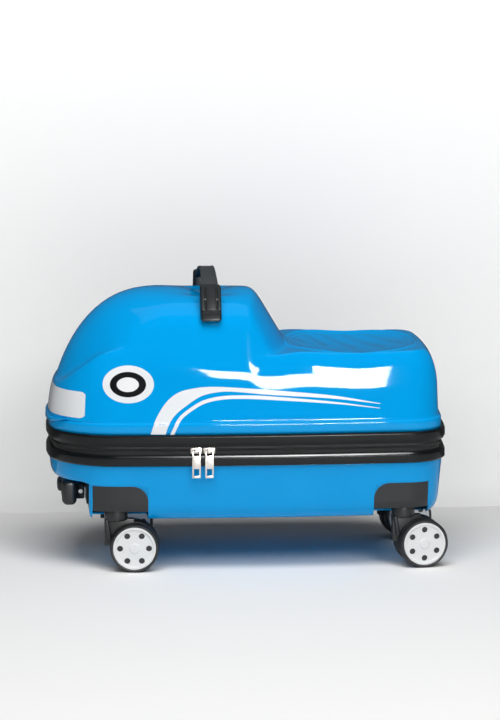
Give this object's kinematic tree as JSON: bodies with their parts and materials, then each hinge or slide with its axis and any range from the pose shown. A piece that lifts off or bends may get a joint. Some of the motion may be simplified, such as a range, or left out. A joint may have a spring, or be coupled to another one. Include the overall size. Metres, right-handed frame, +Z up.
{
  "type": "ride on suitcase",
  "caption": "Child's ride-on suitcase: zipped two-part hard shell with hump, saddle seat and carry strap, pull-out handle and swivelling twin-wheel casters.",
  "frame": {"origin": "on the floor, at mid length and mid width of the object", "axes": "+X to the rear (the seat end), +Y to the rider's right, +Z up"},
  "size_m": [0.46, 0.229, 0.339],
  "materials": {
    "blue_shell": "glossy moulded ABS",
    "black_rim": "satin moulding",
    "zip_tape": "woven polyester tape",
    "zip_coil": "nylon coil",
    "lining": "woven polyester lining",
    "webbing": "woven webbing",
    "black_plastic": "fine-grained moulding",
    "plated_zip": "nickel-plated die casting",
    "screw_steel": "zinc-plated steel",
    "steel_pin": "turned steel",
    "tube_alloy": "drawn and anodised",
    "tyre": "soft polyurethane tread",
    "wheel_disc": "white moulded disc"
  },
  "bodies": {
    "base": {"lower_shell": "blue_shell", "lower_rim": "black_rim", "lower_zip_tape": "zip_tape", "lower_zip_coil": "zip_coil", "hinge_tape": "zip_tape", "lower_lining": "lining", "trolley_outer_tubes": "tube_alloy", "trolley_bezel": "black_plastic", "trolley_bracket": "black_plastic", "kingpins": "steel_pin", "housing_screws": "screw_steel", "packing_straps": "webbing", "strap_buckle": "black_plastic", "housing_front_left": "black_plastic", "housing_front_right": "black_plastic", "housing_rear_left": "black_plastic", "housing_rear_right": "black_plastic"},
    "lid": {"upper_shell": "blue_shell", "upper_rim": "black_rim", "upper_zip_tape": "zip_tape", "upper_zip_coil": "zip_coil", "upper_lining": "lining", "carry_strap": "black_plastic", "strap_cap_left": "black_plastic", "strap_cap_right": "black_plastic", "strap_screws": "screw_steel"},
    "slider_front": {"zip_slider_front": "plated_zip"},
    "slider_rear": {"zip_slider_rear": "plated_zip"},
    "pull_front": {"zip_pull_front": "plated_zip"},
    "pull_rear": {"zip_pull_rear": "plated_zip"},
    "trolley_middle": {"trolley_middle_tubes": "tube_alloy"},
    "trolley_handle": {"trolley_inner_rods": "tube_alloy", "trolley_grip": "black_plastic", "grip_screws": "screw_steel"},
    "trolley_push": {"trolley_button": "black_plastic"},
    "caster_front_left": {"fork_front_left": "black_plastic", "axle_front_left": "steel_pin"},
    "wheel_front_left_outer": {"tyre_front_left_outer": "tyre", "hub_front_left_outer": "wheel_disc"},
    "wheel_front_left_inner": {"tyre_front_left_inner": "tyre", "hub_front_left_inner": "wheel_disc"},
    "caster_front_right": {"fork_front_right": "black_plastic", "axle_front_right": "steel_pin"},
    "wheel_front_right_outer": {"tyre_front_right_outer": "tyre", "hub_front_right_outer": "wheel_disc"},
    "wheel_front_right_inner": {"tyre_front_right_inner": "tyre", "hub_front_right_inner": "wheel_disc"},
    "caster_rear_left": {"fork_rear_left": "black_plastic", "axle_rear_left": "steel_pin"},
    "wheel_rear_left_outer": {"tyre_rear_left_outer": "tyre", "hub_rear_left_outer": "wheel_disc"},
    "wheel_rear_left_inner": {"tyre_rear_left_inner": "tyre", "hub_rear_left_inner": "wheel_disc"},
    "caster_rear_right": {"fork_rear_right": "black_plastic", "axle_rear_right": "steel_pin"},
    "wheel_rear_right_outer": {"tyre_rear_right_outer": "tyre", "hub_rear_right_outer": "wheel_disc"},
    "wheel_rear_right_inner": {"tyre_rear_right_inner": "tyre", "hub_rear_right_inner": "wheel_disc"}
  },
  "joints": [
    {"name": "lid_hinge", "type": "hinge", "parent": "base", "child": "lid", "pos_m": [0, 0.113, 0.14275], "axis": [-1, 0, 0], "range_deg": [0, 100], "deforming": ["hinge_tape"]},
    {"name": "trolley_stage", "type": "slide", "parent": "base", "child": "trolley_middle", "axis": [-1, 0, 0], "range_m": [0, 0.23]},
    {"name": "trolley_pull", "type": "slide", "parent": "trolley_middle", "child": "trolley_handle", "axis": [-1, 0, 0], "range_m": [0, 0.23]},
    {"name": "trolley_button", "type": "slide", "parent": "trolley_handle", "child": "trolley_push", "axis": [1, 0, 0], "range_m": [0, 0.0035], "stiffness_N_per_m": 400},
    {"name": "slider_front_run", "type": "hinge", "parent": "base", "child": "slider_front", "pos_m": [0, 2.537, 0.14275], "axis": [0, 0, 1], "range_deg": [-1.9, 0]},
    {"name": "pull_front_flip", "type": "hinge", "parent": "slider_front", "child": "pull_front", "pos_m": [-0.06163, -0.11378, 0.14275], "axis": [-0.9997, 0.0232, 0], "range_deg": [0, 150]},
    {"name": "slider_rear_run", "type": "hinge", "parent": "base", "child": "slider_rear", "pos_m": [0, 2.537, 0.14275], "axis": [0, 0, 1], "range_deg": [0, 4.2]},
    {"name": "pull_rear_flip", "type": "hinge", "parent": "slider_rear", "child": "pull_rear", "pos_m": [-0.04693, -0.11408, 0.14275], "axis": [-0.9998, 0.0177, 0], "range_deg": [0, 150]},
    {"name": "swivel_front_left", "type": "hinge", "parent": "base", "child": "caster_front_left", "pos_m": [-0.152, -0.078, 0.071], "axis": [0, 0, 1], "continuous": true},
    {"name": "spin_front_left_outer", "type": "hinge", "parent": "caster_front_left", "child": "wheel_front_left_outer", "pos_m": [-0.13145, -0.09123, 0.028], "axis": [0.0349, 0.9994, 0], "continuous": true},
    {"name": "spin_front_left_inner", "type": "hinge", "parent": "caster_front_left", "child": "wheel_front_left_inner", "pos_m": [-0.13058, -0.06624, 0.028], "axis": [0.0349, 0.9994, 0], "continuous": true},
    {"name": "swivel_front_right", "type": "hinge", "parent": "base", "child": "caster_front_right", "pos_m": [-0.152, 0.078, 0.071], "axis": [0, 0, 1], "continuous": true},
    {"name": "spin_front_right_outer", "type": "hinge", "parent": "caster_front_right", "child": "wheel_front_right_outer", "pos_m": [-0.13058, 0.08976, 0.028], "axis": [0.0349, 0.9994, 0], "continuous": true},
    {"name": "spin_front_right_inner", "type": "hinge", "parent": "caster_front_right", "child": "wheel_front_right_inner", "pos_m": [-0.13145, 0.06477, 0.028], "axis": [0.0349, 0.9994, 0], "continuous": true},
    {"name": "swivel_rear_left", "type": "hinge", "parent": "base", "child": "caster_rear_left", "pos_m": [0.178, -0.078, 0.071], "axis": [0, 0, 1], "continuous": true},
    {"name": "spin_rear_left_outer", "type": "hinge", "parent": "caster_rear_left", "child": "wheel_rear_left_outer", "pos_m": [0.20054, -0.08746, 0.028], "axis": [-0.1392, 0.9903, 0], "continuous": true},
    {"name": "spin_rear_left_inner", "type": "hinge", "parent": "caster_rear_left", "child": "wheel_rear_left_inner", "pos_m": [0.19706, -0.0627, 0.028], "axis": [-0.1392, 0.9903, 0], "continuous": true},
    {"name": "swivel_rear_right", "type": "hinge", "parent": "base", "child": "caster_rear_right", "pos_m": [0.178, 0.078, 0.071], "axis": [0, 0, 1], "continuous": true},
    {"name": "spin_rear_right_outer", "type": "hinge", "parent": "caster_rear_right", "child": "wheel_rear_right_outer", "pos_m": [0.19706, 0.0933, 0.028], "axis": [-0.1392, 0.9903, 0], "continuous": true},
    {"name": "spin_rear_right_inner", "type": "hinge", "parent": "caster_rear_right", "child": "wheel_rear_right_inner", "pos_m": [0.20054, 0.06854, 0.028], "axis": [-0.1392, 0.9903, 0], "continuous": true}
  ],
  "couplings": [
    {"joint": "trolley_pull", "follows": "trolley_stage", "ratio": 1}
  ]
}
